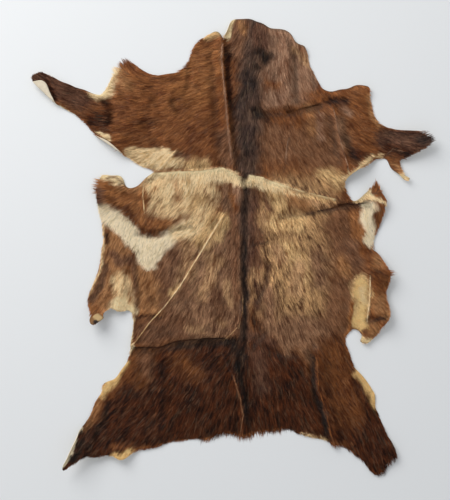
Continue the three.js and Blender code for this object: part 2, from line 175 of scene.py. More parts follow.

# Patches of one tone, laid one over another; some dark lines among them are painted shade in folds and
# creases. Columns: tone, radius, softness, path.
PATCHES = [
    # Neck.
    ("fawn", 38, 28, (560, 920), (562, 850), (560, 812)),
    ("fawn", 13, 12, (612, 890), (620, 836)),
    ("sand", 3, 14, (588, 908), (600, 898), (610, 880)),
    ("russet", 50, 30, (560, 730), (600, 740), (640, 720)),
    ("tan", 6, 16, (610, 786), (620, 746)),
    ("chestnut", 10, 12, (552, 774), (600, 776)),
    ("mane", 19, 14, (506, 950), (501, 860), (498, 760), (496, 664)),
    ("mink", 13, 12, (480, 946), (476, 900)),
    ("tan", 4, 7, (482, 954), (488, 940)),
    ("plum", 12, 12, (520, 944), (524, 920)),
    # This row and the five below: the mane's own dark hair, with painted shade in its folds.
    ("black", 9, 9, (524, 900), (534, 888)),
    ("black", 4, 8, (508, 876), (520, 872)),
    ("sooty", 10, 9, (497, 858), (496, 822)),
    ("sooty", 8, 10, (484, 808), (480, 776)),
    ("black", 10, 10, (512, 784), (530, 770)),
    ("sooty", 10, 9, (500, 746), (496, 706)),
    ("chestnut", 5, 8, (534, 838), (550, 832)),
    # Painted shade below the lapped fold across the neck.
    ("bay", 9, 16, (540, 772), (596, 764)),
    # Painted shade in the valley beside the neck's ridge.
    ("umber", 5, 7, (460, 900), (462, 830), (466, 790)),
    ("mink", 10, 12, (452, 730), (458, 680)),
    # Painted shadow in the notch beside the neck's lobe.
    ("umber", 2, 5, (388, 866), (388, 830)),
    ("auburn", 30, 24, (408, 880), (402, 830), (372, 804)),
    ("honey", 7, 8, (420, 936), (430, 930)),
    # Shoulders and forelegs.
    ("tan", 8, 16, (246, 846), (262, 826)),
    ("bay", 7, 20, (362, 802), (378, 784)),
    ("plum", 24, 12, (70, 856), (104, 836)),
    ("plum", 18, 16, (130, 820), (170, 796)),
    ("umber", 12, 14, (192, 760), (216, 748)),
    ("umber", 5, 20, (208, 796), (218, 788), (218, 762)),
    ("umber", 4, 8, (102, 830), (116, 800)),
    ("cream", 2, 3, (120, 787), (140, 776), (160, 763)),
    ("bay", 1, 20, (286, 748), (318, 752)),
    ("gold", 18, 7, (274, 688), (300, 682), (350, 682)),
    ("cream", 15, 8, (298, 686), (338, 684)),
    ("honey", 11, 13, (384, 672), (408, 672)),
    ("mink", 4, 7, (362, 692), (378, 690)),
    ("fawn", 4, 8, (634, 772), (636, 724)),
    ("umber", 5, 9, (662, 798), (686, 802)),
    ("fawn", 6, 10, (682, 788), (694, 776)),
    ("mauve", 7, 10, (672, 760), (684, 720)),
    ("umber", 8, 12, (700, 694), (722, 690)),
    ("tan", 6, 6, (738, 806), (744, 772), (752, 754)),
    ("plum", 22, 14, (770, 722), (830, 712)),
    ("umber", 6, 8, (770, 704), (812, 694)),
    ("sooty", 9, 12, (836, 722), (858, 716)),
    ("honey", 13, 16, (644, 652), (672, 640)),
    ("gold", 5, 4, (686, 640), (702, 654), (718, 669), (742, 684), (758, 688)),
    ("tan", 5, 5, (786, 674), (800, 650)),
    ("gold", 4, 4, (800, 650), (816, 642)),
    # Body, left of the spine.
    ("mauve", 70, 30, (400, 500), (400, 420), (410, 380)),
    ("gold", 32, 22, (318, 616), (352, 610), (398, 616)),
    ("tan", 2, 12, (354, 632), (358, 604)),
    ("cream", 6, 10, (338, 634), (346, 622)),
    ("cream", 6, 12, (374, 634), (380, 596)),
    ("mink", 3, 8, (412, 618), (420, 600)),
    ("auburn", 8, 10, (262, 588), (284, 564), (318, 552), (344, 556)),
    # Painted shade along a crease.
    ("bay", 3, 9, (276, 550), (296, 542), (340, 544), (362, 549)),
    ("honey", 16, 18, (400, 596), (420, 560), (404, 530)),
    ("mauve", 8, 9, (452, 626), (454, 592)),
    ("fawn", 4, 6, (474, 632), (478, 606)),
    ("mink", 14, 10, (470, 568), (472, 516)),
    ("sand", 8, 12, (424, 496), (442, 484)),
    ("mink", 7, 12, (466, 494), (472, 470), (472, 430)),
    ("mink", 12, 12, (342, 506), (352, 488)),
    ("tan", 28, 24, (290, 452), (304, 404)),
    ("mink", 10, 14, (326, 462), (334, 430)),
    ("honey", 4, 8, (346, 424), (366, 438), (376, 450)),
    ("mink", 2, 9, (270, 478), (272, 420), (271, 376)),
    ("mink", 9, 14, (334, 398), (342, 378)),
    # Painted shade along a trough.
    ("umber", 2.5, 6, (278, 371), (322, 370)),
    ("sand", 12, 16, (384, 486), (372, 452)),
    ("sand", 9, 14, (432, 482), (418, 440), (406, 416)),
    ("sand", 5, 10, (454, 440), (460, 404)),
    ("mink", 9, 12, (436, 418), (440, 384)),
    ("mink", 4, 8, (462, 352), (470, 340)),
    ("mink", 8, 12, (376, 440), (366, 414)),
    ("mink", 22, 18, (300, 336), (360, 350)),
    ("sand", 4, 8, (440, 366), (448, 358)),
    ("sand", 3, 12, (384, 352), (404, 350)),
    ("honey", 8, 9, (446, 574), (450, 560)),
    ("honey", 8, 10, (442, 552), (436, 534)),
    # The left belly and its blaze.
    ("auburn", 22, 10, (212, 612), (260, 604), (282, 604)),
    ("plum", 6, 8, (204, 616), (204, 594)),
    ("bay", 5, 9, (220, 606), (236, 590), (260, 584), (272, 554)),
    ("tan", 6, 8, (244, 628), (278, 622)),
    ("tan", 26, 12, (232, 520), (234, 450), (214, 400)),
    ("mink", 8, 10, (228, 498), (240, 484), (262, 484)),
    ("umber", 2, 5, (216, 540), (218, 522)),
    ("mink", 5, 10, (214, 470), (206, 440), (188, 404)),
    ("gold", 14, 12, (243, 444), (254, 410)),
    ("cream", 15, 7, (238, 390), (258, 386)),
    ("auburn", 9, 8, (192, 388), (200, 372)),
    ("white", 15, 8, (200, 576), (230, 568), (256, 544), (276, 518)),
    ("white", 22, 7, (294, 510), (304, 502)),
    ("white", 19, 8, (298, 494), (298, 486)),
    ("white", 13, 9, (320, 512), (344, 526)),
    ("cream", 14, 12, (362, 538), (390, 552)),
    ("sand", 8, 12, (374, 514), (378, 500)),
    ("gold", 10, 14, (396, 560), (408, 582)),
    ("gold", 1.5, 4, (208, 552), (209, 510), (203, 470), (192, 438), (180, 414)),
    # Body, right of the spine.
    ("brindle", 78, 34, (590, 566), (586, 480), (580, 440)),
    ("brindle", 40, 30, (556, 420), (620, 400)),
    ("mauve", 22, 24, (566, 350), (646, 346)),
    ("russet", 30, 30, (676, 560), (688, 500), (684, 440), (676, 380)),
    ("mink", 8, 9, (506, 622), (508, 588)),
    ("mink", 6, 9, (530, 612), (538, 590)),
    ("honey", 10, 12, (548, 616), (560, 592)),
    ("tan", 9, 14, (588, 602), (612, 592)),
    ("sand", 6, 10, (622, 604), (640, 590)),
    ("sand", 5, 8, (524, 574), (532, 560)),
    ("honey", 12, 16, (550, 562), (594, 560)),
    ("mink", 13, 12, (508, 546), (516, 528)),
    ("honey", 15, 18, (574, 506), (592, 486), (604, 460)),
    ("sand", 12, 14, (594, 470), (588, 430)),
    ("mauve", 8, 18, (632, 500), (636, 440)),
    ("sand", 9, 12, (552, 508), (556, 488)),
    ("mink", 9, 10, (508, 508), (516, 480)),
    ("mink", 3, 8, (534, 478), (522, 432), (512, 396)),
    ("plum", 6, 9, (504, 606), (503, 540), (501, 470)),
    ("plum", 3, 8, (512, 440), (514, 390)),
    ("sand", 5, 8, (510, 464), (514, 446)),
    # This row and the next: painted shade along troughs.
    ("umber", 0.8, 4, (503, 516), (520, 519), (537, 523)),
    ("umber", 1.2, 6, (606, 577), (617, 579), (660, 584), (694, 592)),
    ("tan", 8, 12, (676, 480), (684, 462)),
    ("mauve", 11, 14, (534, 424), (536, 350)),
    ("russet", 10, 20, (672, 404), (680, 350)),
    ("umber", 4, 14, (508, 372), (518, 348), (524, 332)),
    ("mauve", 13, 14, (566, 328), (600, 324), (618, 314)),
    ("umber", 6, 12, (664, 330), (676, 320)),
    ("plum", 13, 14, (508, 330), (536, 318)),
    # The dark line down the back: a dark stripe of hair, with painted shade of the furrow it lies in.
    ("mane", 7, 10, (491, 636), (490, 540), (489, 500), (490, 420), (488, 330)),
    ("black", 1.5, 5, (491, 520), (490, 480), (490, 400), (490, 300)),
    # Right belly.
    ("auburn", 14, 12, (712, 580), (716, 540)),
    ("mink", 12, 12, (700, 512), (706, 482)),
    ("chestnut", 12, 12, (728, 504), (742, 480)),
    ("tan", 6, 8, (746, 484), (752, 472)),
    ("bay", 10, 9, (748, 458), (766, 442)),
    ("tan", 12, 10, (752, 402), (766, 376)),
    # Painted shade along a trough.
    ("umber", 2, 5, (736, 364), (764, 370)),
    ("tan", 10, 8, (742, 352), (744, 334)),
    ("honey", 17, 7, (717, 438), (717, 400), (712, 364)),
    ("straw", 12, 8, (719, 432), (720, 400), (716, 366)),
    ("gold", 3, 9, (724, 424), (726, 400)),
    ("honey", 2, 9, (708, 404), (712, 376)),
    ("straw", 7, 6, (712, 356), (722, 350)),
    ("gold", 7, 5, (728, 322), (736, 320)),
    ("auburn", 4, 5, (698, 398), (698, 350), (690, 334)),
    ("white", 12, 8, (736, 586), (732, 560)),
    ("white", 8, 7, (734, 550), (738, 520)),
    ("chestnut", 5, 4, (764, 590), (762, 560), (750, 534)),
    ("gold", 7, 5, (714, 604), (732, 610)),
    ("cream", 3.5, 3, (740, 608), (756, 604), (766, 596)),
    ("chestnut", 5, 4, (744, 620), (752, 626)),
    # Painted shade along a trough.
    ("umber", 1.2, 4, (696, 595), (720, 594)),
    # Rump and hind legs.
    ("umber", 72, 12, (340, 232), (400, 244), (490, 250), (560, 226), (650, 234)),
    ("umber", 44, 16, (300, 150), (440, 160), (560, 168), (690, 150)),
    ("umber", 50, 20, (300, 200), (220, 140), (150, 90)),
    ("umber", 50, 20, (660, 240), (710, 180), (770, 90)),
    ("bay", 26, 26, (664, 300), (690, 180)),
    ("bay", 12, 18, (294, 286), (284, 240)),
    ("mink", 8, 14, (296, 290), (298, 262)),
    ("bay", 10, 16, (604, 300), (620, 280)),
    ("plum", 8, 16, (514, 298), (518, 232)),
    ("mauve", 4, 12, (564, 316), (570, 302)),
    ("mauve", 4, 12, (602, 306), (610, 292)),
    ("bay", 9, 12, (212, 212), (196, 172)),
    ("tan", 3, 8, (203, 212), (188, 176), (176, 150)),
    # Painted shade along a trough.
    ("black", 2, 12, (222, 198), (206, 160), (180, 118)),
    ("black", 6, 12, (168, 120), (150, 90)),
    ("bay", 12, 20, (364, 288), (394, 262)),
    ("black", 8, 12, (470, 318), (486, 296), (482, 276)),
    # This row and the next two: painted shade along troughs and the furrow across the loins.
    ("black", 2, 8, (478, 270), (490, 208), (495, 172)),
    ("black", 2, 6, (621, 292), (625, 240), (628, 220), (642, 176), (650, 138)),
    ("black", 1.5, 8, (340, 310), (356, 314), (412, 320), (460, 318)),
    ("chestnut", 3, 8, (226, 112), (320, 114), (410, 124), (470, 134), (560, 144)),
    ("chestnut", 3, 8, (600, 138), (650, 122), (700, 114)),
    # The pale fold across the back, and pale edges.
    ("ivory", 3, 5, (300, 648), (340, 650), (400, 650)),
    ("ivory", 9, 8, (392, 648), (440, 653), (462, 649)),
    ("ivory", 5, 6, (472, 641), (484, 639), (500, 638)),
    ("ivory", 8, 5, (505, 641), (526, 635)),
    ("ivory", 6, 6, (538, 631), (566, 623)),
    ("gold", 2, 3, (568, 622), (600, 614)),
    ("honey", 1.5, 3, (600, 614), (668, 599)),
    ("straw", 7, 6, (256, 282), (228, 242), (206, 216)),
    ("straw", 8, 6, (236, 92), (250, 90), (262, 102)),
    ("straw", 8, 6, (712, 258), (742, 220), (752, 192)),
    ("gold", 4, 4, (604, 136), (652, 122)),
    ("cream", 10, 11, (226, 852), (220, 816), (198, 812)),
    ("cream", 3, 3, (204, 734), (230, 718)),
    ("cream", 6, 3, (463, 962), (459, 930)),
    ("cream", 8, 6, (206, 646), (246, 642)),
    ("mink", 0.8, 4, (212, 640), (228, 645), (243, 641), (246, 628)),
    ("cream", 3, 3, (268, 364), (268, 336), (262, 306)),
    ("white", 3, 2, (128, 64), (156, 132), (166, 150)),
]

# Lines that no hair lies across. Columns: tone, width, how far hair beside it turns along it, path.
PARTINGS = [
    ("ivory", 0.9, 1, (446, 570), (420, 526), (396, 486), (360, 428)),
    ("cream", 0.7, 1, (360, 428), (330, 388), (300, 356)),
    ("honey", 0.6, 1, (300, 356), (272, 318)),
    ("cream", 0.7, 1, (358, 704), (338, 684), (318, 662)),
    ("ivory", 1.0, 0, (318, 654), (360, 656), (400, 657), (446, 664), (468, 652), (482, 645)),
    ("ivory", 1.0, 0, (498, 650), (526, 645), (540, 638), (600, 618)),
    ("gold", 1.0, 0, (600, 618), (668, 602)),
    ("fawn", 1.5, 1, (446, 910), (444, 880), (447, 850), (452, 800), (457, 740), (462, 692)),
    ("russet", 1.1, 1, (466, 254), (480, 208), (486, 172), (482, 150)),
    ("bay", 1.0, 1, (630, 300), (634, 240), (636, 224), (650, 180), (658, 140), (666, 114)),
    ("fawn", 1.0, 1, (664, 784), (672, 752), (680, 712), (694, 664)),
    ("gold", 0.5, 1, (288, 630), (287, 604), (290, 578)),
    ("cream", 0.7, 1, (738, 450), (737, 400), (733, 364)),
    ("sand", 0.8, 1, (486, 414), (485, 380), (478, 350), (452, 324)),
    ("fawn", 0.7, 1, (576, 724), (572, 704), (570, 684)),
    ("fawn", 0.7, 1, (768, 688), (784, 702), (798, 698)),
    # This parting and the three below: dark lines of painted shade along creases.
    ("umber", 0.6, 1, (272, 306), (320, 306), (352, 318), (412, 324), (450, 324)),
    ("bay", 0.5, 1, (660, 583), (690, 592)),
    ("bay", 0.5, 1, (600, 782), (636, 791)),
    ("umber", 0.6, 1, (694, 590), (712, 592), (726, 594)),
]

# Skin that shows through thin, short hair. Columns: radius, path.
BARE = [
    (15, (244, 402), (240, 388), (258, 384)),
    (8, (256, 282), (228, 242), (206, 216)),
    (8, (236, 90), (250, 88), (262, 102)),
    (8, (712, 258), (742, 220), (752, 192)),
    (5, (600, 136), (652, 122)),
    (7, (688, 642), (704, 656), (716, 667)),
    (5, (716, 667), (742, 684), (758, 688)),
    (8, (206, 646), (246, 642)),
    (7, (223, 850), (215, 813), (196, 813)),
    (7, (463, 962), (459, 930)),
    (15, (718, 438), (718, 390), (713, 348)),
    (7, (728, 322), (736, 320)),
    (2.5, (318, 653), (360, 655), (400, 656), (446, 663), (468, 651), (482, 644)),
    (2.5, (498, 649), (526, 644), (540, 637), (600, 617), (668, 601)),
    (4, (800, 650), (818, 642)),
    (3.5, (120, 787), (140, 776), (160, 763)),
    (4, (268, 364), (268, 336), (262, 306)),
    (3.5, (128, 64), (156, 132), (166, 150)),
]

# Marks on the flesh side, where it shows in a curl, and painted shade in the hole of that curl. Columns:
# tone, radius, path.
FLESH_MARKS_AND_SHADE = [
    ("honey", 26, (184, 370), (200, 358)),
    ("cream", 8, (190, 372), (208, 360)),
    # Painted shade in the hole of the curl.
    ("umber", 6, (194, 358), (202, 353)),
]

# Places where long hair reaches past the edge. Columns: reach, radius, path.
TUFTS = [
    (7, 18, (434, 136), (470, 132), (510, 134), (540, 142)),
    (24, 12, (234, 870), (250, 876), (262, 872)),
    (24, 9, (200, 650), (198, 628)),
    (18, 3, (777, 457), (776, 454)),
    (9, 6, (750, 632), (752, 626)),
    (15, 12, (764, 74), (786, 88)),
    (6, 8, (364, 866), (378, 862)),
    (8, 10, (656, 114), (696, 104)),
    (15, 8, (842, 736), (858, 722)),
    (5, 8, (764, 606), (768, 590)),
    (2.5, 12, (560, 146), (600, 142)),
]

# Which way the coat lies, in degrees from X towards Y, and how long it is. Columns: x, y, way, length.
LIE = [
    (505, 945, 266, 15), (440, 900, 198, 13), (410, 860, 190, 13), (545, 915, 282, 13),
    (620, 850, 290, 13), (490, 860, 262, 15), (490, 780, 268, 15), (490, 690, 270, 14),
    (430, 840, 192, 13), (420, 790, 194, 13), (330, 800, 188, 14), (252, 868, 118, 18),
    (250, 830, 168, 12), (240, 760, 184, 11), (180, 790, 165, 9), (90, 840, 148, 7),
    (440, 740, 206, 13), (430, 700, 228, 14), (350, 700, 206, 13), (280, 690, 196, 10),
    (540, 780, 300, 14), (630, 760, 312, 13), (690, 790, 330, 10), (740, 740, 336, 9),
    (820, 715, 346, 8), (848, 728, 24, 16), (560, 690, 298, 14), (620, 680, 308, 13), (670, 660, 322, 12),
    (440, 650, 262, 11), (380, 648, 258, 10), (320, 648, 240, 10), (510, 640, 274, 10),
    (560, 624, 284, 10), (440, 600, 246, 12), (380, 600, 236, 12), (310, 600, 232, 12),
    (250, 600, 216, 11), (204, 634, 160, 18), (262, 536, 250, 10), (300, 500, 262, 11),
    (360, 536, 214, 11), (440, 500, 250, 12), (380, 480, 242, 12), (300, 440, 248, 11),
    (220, 520, 246, 10), (200, 430, 242, 10), (440, 400, 256, 13), (370, 380, 246, 13),
    (300, 380, 238, 12), (530, 600, 294, 12), (610, 590, 304, 12), (690, 580, 306, 12),
    (736, 570, 276, 13), (766, 600, 300, 9), (530, 500, 290, 12), (610, 480, 300, 12),
    (690, 480, 308, 11), (760, 478, 322, 10), (776, 456, 2, 16), (770, 430, 300, 10),
    (750, 630, 96, 11), (530, 400, 284, 12), (610, 380, 294, 12), (690, 380, 304, 10),
    (760, 360, 306, 9), (440, 280, 234, 16), (360, 280, 232, 16), (290, 290, 230, 15),
    (440, 180, 246, 18), (350, 170, 236, 17), (270, 170, 230, 15), (430, 136, 254, 18),
    (500, 134, 272, 19), (200, 150, 230, 10), (150, 90, 232, 9), (540, 280, 290, 16),
    (620, 280, 300, 16), (690, 270, 306, 13), (540, 180, 284, 18), (620, 170, 300, 17),
    (700, 170, 306, 13), (690, 108, 296, 13), (770, 90, 292, 15),
]

# Soft ridges, and troughs with a height below 0, in the leather besides the solid's folds. Each falls
# away over one width on its left and another on its right. Columns: height, left, right, path.
CREASES = [
    (6.5, 6, 26, (446, 914), (444, 880), (447, 850), (452, 800), (457, 740), (462, 692), (466, 672)),
    (-4.5, 14, 5, (458, 905), (458, 850), (463, 795), (468, 730), (472, 690)),
    (-4, 3, 6, (382, 878), (382, 852), (380, 826)),
    (7, 8, 30, (572, 905), (574, 860), (574, 810), (570, 786)),
    (-5, 9, 5, (588, 895), (590, 850), (590, 800)),
    (5, 10, 8, (606, 905), (612, 860), (618, 820)),
    (3.5, 14, 3, (540, 784), (575, 787), (610, 791), (636, 799)),
    (-4.5, 3, 10, (534, 776), (572, 779), (608, 783), (636, 791)),
    (-3, 10, 12, (512, 776), (532, 766)),
    (-4.5, 6, 10, (652, 800), (690, 801)),
    (6.5, 4, 14, (664, 786), (672, 752), (680, 712), (694, 664)),
    (-5, 14, 5, (688, 720), (698, 690), (706, 672)),
    (2.5, 6, 6, (636, 778), (636, 722)),
    (3.5, 4, 4, (358, 704), (338, 684), (318, 662)),
    (9, 13, 50, (318, 640), (360, 642), (400, 643), (446, 649), (466, 638), (480, 627)),
    (-3.5, 10, 4, (330, 663), (400, 667), (446, 674), (470, 661), (484, 652)),
    (8, 13, 40, (500, 634), (526, 630), (540, 624), (600, 605), (668, 588)),
    (-3, 9, 3, (500, 657), (528, 653), (544, 645), (602, 626), (670, 609)),
    (-3.5, 4, 4, (492, 664), (491, 644)),
    (-4, 5, 8, (560, 573), (582, 573), (617, 579), (660, 583), (704, 595)),
    (2.5, 4, 3.5, (448, 572), (420, 526), (396, 486), (360, 428), (330, 388), (300, 356), (272, 318)),
    (-2.5, 3, 10, (438, 562), (412, 520), (388, 480), (352, 422), (322, 382), (292, 350)),
    (3.5, 5, 18, (478, 640), (478, 560), (478, 480), (479, 420)),
    (-4.5, 9, 12, (491, 644), (491, 560), (489, 480), (488, 400), (488, 320), (490, 296)),
    (3, 4, 10, (486, 420), (485, 380), (480, 350), (470, 334), (452, 322)),
    (-5.5, 7, 6, (536, 476), (530, 440), (514, 400)),
    (2.5, 8, 8, (546, 440), (532, 400)),
    (-4, 3, 6, (503, 516), (520, 519), (537, 523)),
    (-4.5, 4, 9, (274, 538), (300, 536), (344, 540), (384, 552)),
    (3.5, 3, 5, (287, 632), (287, 604), (290, 576)),
    (-3.5, 4, 6, (276, 370), (300, 368), (328, 371)),
    (3, 16, 4, (300, 316), (352, 328), (400, 333), (450, 332)),
    (-7.5, 6, 14, (268, 304), (320, 306), (352, 318), (400, 323), (450, 324), (486, 322)),
    (-5, 9, 9, (500, 308), (520, 326), (534, 344)),
    (-3.5, 6, 10, (546, 298), (600, 292), (630, 294)),
    (6.5, 4, 14, (448, 288), (468, 248), (480, 208), (486, 172), (482, 150)),
    (-6, 16, 4, (476, 282), (480, 244), (492, 205), (498, 172), (494, 148)),
    (8, 16, 4, (630, 300), (634, 240), (636, 224), (650, 180), (658, 140), (666, 114)),
    (-8, 4, 14, (620, 292), (624, 240), (627, 220), (641, 176), (649, 138)),
    (-3, 6, 6, (702, 250), (724, 190), (744, 150)),
    (5, 12, 12, (300, 292), (296, 250)),
    (-6, 16, 16, (330, 274), (334, 220), (328, 170)),
    (-3.5, 8, 8, (222, 204), (210, 160), (194, 128)),
    (3, 8, 8, (206, 204), (190, 164)),
    (3.5, 14, 14, (242, 460), (240, 410)),
    (-4, 9, 9, (214, 472), (204, 430), (188, 404)),
    (-3, 9, 9, (272, 474), (280, 420), (276, 380)),
    (3, 6, 6, (698, 404), (698, 360), (690, 334)),
    (3.5, 6, 4, (741, 440), (740, 400), (736, 364)),
    (-4.5, 5, 7, (732, 359), (752, 367), (772, 372)),
    (-4, 9, 9, (744, 464), (766, 448), (772, 430)),
    (-5, 4, 7, (690, 589), (712, 592), (738, 595)),
    (-3, 7, 7, (98, 832), (114, 800)),
    (-2.5, 10, 16, (288, 755), (322, 758)),
    (-3.5, 9, 9, (350, 798), (358, 774)),
    (-3, 9, 9, (310, 808), (320, 790)),
    (-4, 12, 12, (214, 800), (226, 786), (226, 756)),
    (3, 14, 14, (246, 836), (262, 810)),
    (3, 14, 16, (316, 742), (330, 722)),
]


def unit(vectors):
    """Vectors scaled to length 1."""
    return vectors / np.maximum(np.linalg.norm(vectors, axis=-1, keepdims=True), 1e-12)


def ease(values, low, high):
    """0 below low and 1 above high, with a smooth step between."""
    share = np.clip((values - low) / (high - low), 0, 1)
    return share * share * (3 - 2 * share)


def side_gap(points, path):
    """How far each point is from a path, below 0 for those on its right."""
    gaps = np.full(len(points), np.inf)
    for a, b in zip(np.array(path[:-1], float), np.array(path[1:], float)):
        ahead = b - a
        along = np.clip((points - a) @ ahead / (ahead @ ahead), 0, 1)
        off = points - a - along[:, None] * ahead
        side = np.where(ahead[0] * off[:, 1] > ahead[1] * off[:, 0], 1, -1)
        new = np.linalg.norm(off, axis=1)
        gaps = np.where(new < np.abs(gaps), side * new, gaps)
    return gaps


def near_path(points, path, size, edge):
    """1 at points along a path and 0 away from it, with a smooth step between two multiples of a size."""
    return 1 - ease(np.abs(side_gap(points, path)) / size, *edge)


def between(grid, low, high, share):
    """A grid's values between a low and a high cell, mixed by a share across and one up."""
    (x0, y0), (x1, y1), (across, up) = low.T, high.T, share.T
    near = grid[x0, y0] * (1 - across) + grid[x1, y0] * across
    far = grid[x0, y1] * (1 - across) + grid[x1, y1] * across
    return near * (1 - up) + far * up


def noise(points, scale, seed):
    """Smooth noise from -1 to 1 that changes over about a scale."""
    table = np.random.default_rng(seed).uniform(-1, 1, (NOISE_CELLS, NOISE_CELLS))
    place = points / scale
    cell = np.floor(place).astype(int)
    low = cell % NOISE_CELLS
    return between(table, low, (low + 1) % NOISE_CELLS, ease(place - cell, 0, 1))


def layered(points, layers):
    """The sum of layers of noise."""
    return sum(strength * noise(points, scale, seed) for scale, strength, seed in layers)


def streaks(points, ways, scale, reach, strength, seed):
    """Noise that is drawn out along the lie of the coat."""
    steps = np.arange(-reach, reach + 1, STREAK_STEP * scale)
    drawn = sum(noise(points + step * ways, scale, seed) for step in steps)
    return strength * STREAK_GAIN * drawn / np.sqrt(len(steps))


def daylight(colour):
    """A colour from 0 to 255, on the sRGB curve, as the shaders take it."""
    share = np.asarray(colour, float) / 255
    return np.where(share <= 0.04045, share / 12.92, ((share + 0.055) / 1.055) ** 2.4)


def tone_row(tone):
    """A tone's two colours and its share of light hairs, as one row of seven."""
    dark, light, share = TONES[tone]
    return np.concatenate([daylight(dark), daylight(light), [share]])


def coat_at(points):
    """The dark hairs' colour, the light hairs' colour and the share of light ones at each point."""
    strayed = points + np.stack([layered(points, STRAYING_X), layered(points, STRAYING_Y)], axis=1)
    coat = np.tile(tone_row(FIRST_TONE), (len(points), 1))
    for tone, radius, softness, *path in PATCHES:
        gaps = np.abs(side_gap(strayed, path))
        cover = 1 - ease(gaps, radius - softness / 2, radius + softness)
        coat += cover[:, None] * (tone_row(tone) - coat)
    for tone, width, _, *path in PARTINGS:
        cover = near_path(points, path, width, PARTING_EDGE)
        coat += cover[:, None] * (tone_row(tone) - coat)
    return coat[:, :3], coat[:, 3:6], coat[:, 6]


def lie_at(points):
    """Which way the coat lies at each point, and how long it is there."""
    table = np.array(LIE, float)
    gaps = np.linalg.norm(points[:, None] - table[None, :, :2], axis=2)
    weights = 1 / (gaps + LIE_BLEND) ** LIE_POWER
    weights /= weights.sum(axis=1, keepdims=True)
    angles = np.radians(table[:, 2])
    ways = unit(weights @ np.stack([np.cos(angles), np.sin(angles)], axis=1))
    return turned(ways, layered(points, TURNS)), weights @ table[:, 3]


def turned(ways, angles):
    """Directions turned to the left by their angles."""
    cos, sin = np.cos(angles), np.sin(angles)
    return np.stack([ways[:, 0] * cos - ways[:, 1] * sin, ways[:, 0] * sin + ways[:, 1] * cos], axis=1)


def along_partings(points, ways):
    """Directions that follow a parting beside it."""
    for _, width, follow, *path in PARTINGS:
        for a, b in zip(np.array(path[:-1], float), np.array(path[1:], float)):
            beside = follow * near_path(points, [a, b], width, COMBED_EDGE)
            run = unit(b - a) * np.sign(ways @ (b - a))[:, None]
            ways = unit(ways + beside[:, None] * (run - ways))
    return ways


def short_of_partings(roots, tips):
    """The share of each strand that lies short of the partings it would cross."""
    kept = np.ones(len(roots))
    for _, _, _, *path in PARTINGS:
        start, end = side_gap(roots, path), side_gap(tips, path)
        span = np.abs(start) + np.abs(end)
        crossed = (start * end < 0) & (span < CROSSING_SPAN)
        kept = np.where(crossed, np.minimum(kept, np.abs(start) / span), kept)
    return kept


def bareness(points):
    """How bare the skin is at each point, from 0 to 1."""
    bare = np.zeros(len(points))
    for radius, *path in BARE:
        bare = np.maximum(bare, near_path(points, path, radius, BARE_EDGE))
    return bare


def to_sheet(places):
    """Points in metres as points on the sheet, in millimetres."""
    return places[:, :2] / MM + SHEET_MIDDLE


def crosses(edge):
    """Whether an edge of the rug's solid runs from its hair side to its flesh side."""
    return abs(edge.calc_length() - SOLID_THICKNESS * MM) < LENGTH_SLACK * MM


def hair_faces(solid):
    """The faces of the rug's hair side, up to the faces of its cut edge."""
    cut = {face for face in solid.faces if any(crosses(edge) for edge in face.edges)}
    start = max(solid.faces, key=lambda face: face.normal.z * face.calc_area())
    found, front = {start}, [start]
    while front:
        for edge in front.pop().edges:
            new = set(edge.link_faces) - found - cut
            found |= new
            front += new
    return found


def hair_side(hide):
    """The hair side of the rug's solid, as a fine mesh with the leather's own creases."""
    solid = bmesh.new()
    solid.from_mesh(hide.data)
    bmesh.ops.remove_doubles(solid, verts=solid.verts, dist=WELD_GAP * MM)
    solid.normal_update()
    kept = hair_faces(solid)
    bmesh.ops.delete(solid, geom=[face for face in solid.faces if face not in kept], context="FACES")
    mesh = bpy.data.meshes.new("skin")
    solid.to_mesh(mesh)
    solid.free()
    skin = add_object("skin", mesh)
    skin.modifiers.new("smooth", "SUBSURF").levels = SUBDIVISIONS
    apply_modifiers(skin)
    crease(skin)
    return skin


def add_object(name, data):
    """A new object in the scene."""
    thing = bpy.data.objects.new(name, data)
    bpy.context.scene.collection.objects.link(thing)
    return thing


def apply_modifiers(thing):
    """Makes a thing's modifiers part of its mesh."""
    plain = bpy.data.meshes.new_from_object(thing.evaluated_get(bpy.context.evaluated_depsgraph_get()))
    thing.modifiers.clear()
    thing.data = plain


def corners_of(mesh):
    """A mesh's points as an array."""
    places = np.empty(len(mesh.vertices) * 3, np.float32)
    mesh.vertices.foreach_get("co", places)
    return places.reshape(-1, 3).astype(float)


def creases_at(points):
    """How high the creases stand at each point, below 0 in a trough."""
    height = np.zeros(len(points))
    for top, left, right, *path in CREASES:
        gaps = side_gap(points, path)
        height += top * (1 - ease(np.abs(gaps) / np.where(gaps > 0, left, right), 0, 1))
    return height


def crease(skin):
    """Presses the creases into the leather, without pushing it through the floor."""
    places = corners_of(skin.data)
    sheet = to_sheet(places)
    lift = layered(sheet, LEATHER_WAVES)
    lift += SKIN_RISE * ease(gap_to_edge(skin, places) / MM, 0, RISE_WIDTH)
    lift += creases_at(sheet) * (1 + layered(sheet, CREASE_CHANGES))
    places[:, 2] = np.maximum(places[:, 2] + lift * MM, (LEATHER_THICKNESS + LEATHER_GAP) * MM)
    skin.data.vertices.foreach_set("co", places.astype(np.float32).ravel())
    skin.data.update()


def edge_of(skin):
    """The points round the edge of the hair side."""
    mesh = bmesh.new()
    mesh.from_mesh(skin.data)
    places = np.array([vertex.co for vertex in mesh.verts if vertex.is_boundary])
    mesh.free()
    return places


def tree_of(places):
    """Points, seen from above, in a tree that finds the nearest."""
    tree = KDTree(len(places))
    for index, (x, y, _) in enumerate(places):
        tree.insert((x, y, 0), index)
    tree.balance()
    return tree


def gap_to_edge(skin, places):
    """How far inside the skin's edge places lie, in metres."""
    near = tree_of(edge_of(skin))
    return np.array([near.find((x, y, 0))[2] for x, y, _ in places])


def reach_past_edge(points):
    """How far the hair may reach past the edge beside each point, in millimetres."""
    reach = np.full(len(points), EDGE_OVERHANG)
    for tuft, radius, *path in TUFTS:
        reach += (tuft - EDGE_OVERHANG) * near_path(points, path, radius, TUFT_EDGE)
    return reach


